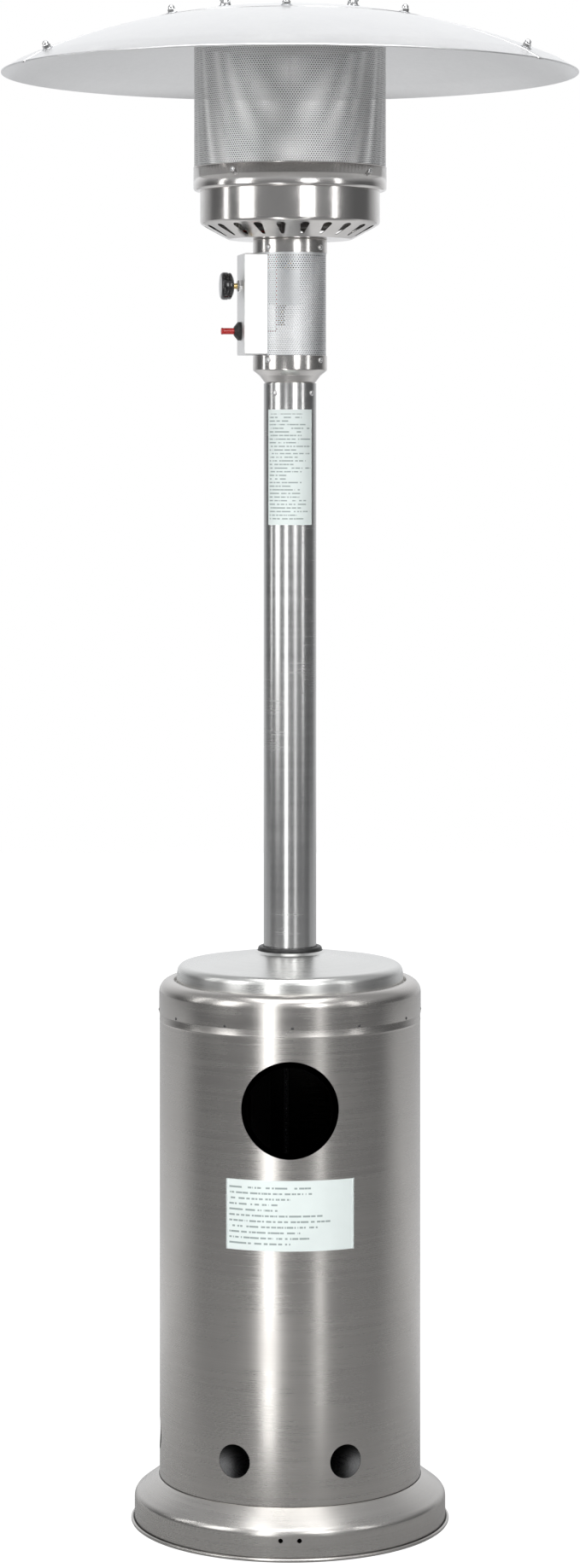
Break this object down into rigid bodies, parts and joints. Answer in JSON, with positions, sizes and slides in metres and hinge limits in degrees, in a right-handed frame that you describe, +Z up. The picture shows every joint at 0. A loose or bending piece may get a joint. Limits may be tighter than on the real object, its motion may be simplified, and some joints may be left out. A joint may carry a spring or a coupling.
{
  "type": "patio heater",
  "caption": "Free-standing gas patio heater: dished base, lift-up tank housing, post, perforated emitter head and a domed reflector; controls face the left side.",
  "frame": {"origin": "on the floor, under the axis of the post (centre of the reflector's outline)", "axes": "+Z up along the post; -Y is the front, the side of the round access hole and the rating label; +X is the viewer's right"},
  "size_m": [0.833, 0.8329, 2.1908],
  "materials": {
    "base_steel": "brushed stainless sheet, warm grey",
    "leg_paint": "black powder coat",
    "zinc": "bright zinc plate",
    "post_steel": "satin polished stainless tube",
    "label": "pale printed film",
    "screw_steel": "bright steel",
    "bright_steel": "polished stainless sheet",
    "cage_steel": "perforated stainless sheet",
    "panel_steel": "light satin steel",
    "black_plastic": "moulded black plastic",
    "valve_body": "die-cast aluminium",
    "brass": "machined brass",
    "nut_chrome": "bright plated steel",
    "knob_gloss": "gloss black",
    "button_red": "moulded red plastic",
    "burner_steel": "heat-stained stainless sheet",
    "pilot_alu": "drawn aluminium tube",
    "copper": "drawn copper",
    "ceramic": "glazed ceramic",
    "lead_jacket": "silicone-jacketed lead",
    "emitter_steel": "perforated stainless sheet",
    "reflector_alu": "bright satin aluminium sheet",
    "housing_steel": "brushed stainless sheet, warm grey",
    "lid_steel": "satin stainless sheet",
    "rivet_dark": "dark blind rivets",
    "trim_rubber": "black extruded trim"
  },
  "bodies": {
    "stand": {"base_pan": "base_steel", "leg_front": "leg_paint", "leg_right": "leg_paint", "leg_rear": "leg_paint", "leg_foot_bolts": "zinc", "leg_foot_nuts": "zinc", "leg_post_bolts": "zinc", "leg_post_nuts": "zinc", "reflector_bolts": "zinc", "reflector_washers": "zinc", "stud_washers": "zinc", "reflector_studs": "zinc", "stud_spacers": "zinc", "post": "post_steel", "post_label": "label", "post_screws": "screw_steel", "neck_lower_screws": "screw_steel", "neck_upper_screws": "screw_steel", "emitter_screws": "screw_steel", "neck_funnel": "bright_steel", "upper_collar": "bright_steel", "emitter_ring": "bright_steel", "burner_pan": "bright_steel", "control_cage": "cage_steel", "control_panel": "panel_steel", "tilt_switch": "black_plastic", "igniter_body": "black_plastic", "igniter_bezel": "black_plastic", "gas_valve": "valve_body", "valve_inlet": "brass", "injector": "brass", "knob_nut": "nut_chrome", "stud_wing_nuts": "nut_chrome", "reflector_cap_nuts": "nut_chrome", "venturi_tube": "burner_steel", "burner_head": "burner_steel", "burner_cap": "burner_steel", "pilot_burner": "burner_steel", "emitter_top": "burner_steel", "pilot_tube": "pilot_alu", "thermocouple": "copper", "spark_electrode": "ceramic", "ignition_lead": "lead_jacket", "emitter_screen": "emitter_steel", "reflector_disc": "reflector_alu", "reflector_panel_1": "reflector_alu", "reflector_panel_2": "reflector_alu", "reflector_panel_3": "reflector_alu"},
    "collar": {"collar_ring": "black_plastic"},
    "tank_housing": {"tank_shell": "housing_steel", "shell_seam": "housing_steel", "housing_cap": "housing_steel", "housing_lid": "lid_steel", "cap_rivets": "rivet_dark", "hole_trim": "trim_rubber", "rating_label": "label"},
    "valve_push": {"valve_plunger": "brass"},
    "knob": {"valve_stem": "brass", "control_knob": "knob_gloss"},
    "igniter": {"igniter_button": "button_red"}
  },
  "joints": [
    {"name": "housing_lift", "type": "slide", "parent": "stand", "child": "collar", "axis": [0, 0, 1], "range_m": [0, 0.6]},
    {"name": "housing_turn", "type": "hinge", "parent": "collar", "child": "tank_housing", "pos_m": [0, 0, 0.82], "axis": [0, 0, 1], "continuous": true},
    {"name": "knob_push", "type": "slide", "parent": "stand", "child": "valve_push", "axis": [0.9863, 0.165, 0], "range_m": [0, 0.004], "stiffness_N_per_m": 800, "springref_m": -0.002},
    {"name": "knob_turn", "type": "hinge", "parent": "valve_push", "child": "knob", "pos_m": [0, 0, 1.778], "axis": [0.9863, 0.165, 0], "range_deg": [0, 180]},
    {"name": "igniter_press", "type": "slide", "parent": "stand", "child": "igniter", "axis": [0.9863, 0.165, 0], "range_m": [0, 0.006], "stiffness_N_per_m": 600, "springref_m": -0.003}
  ]
}
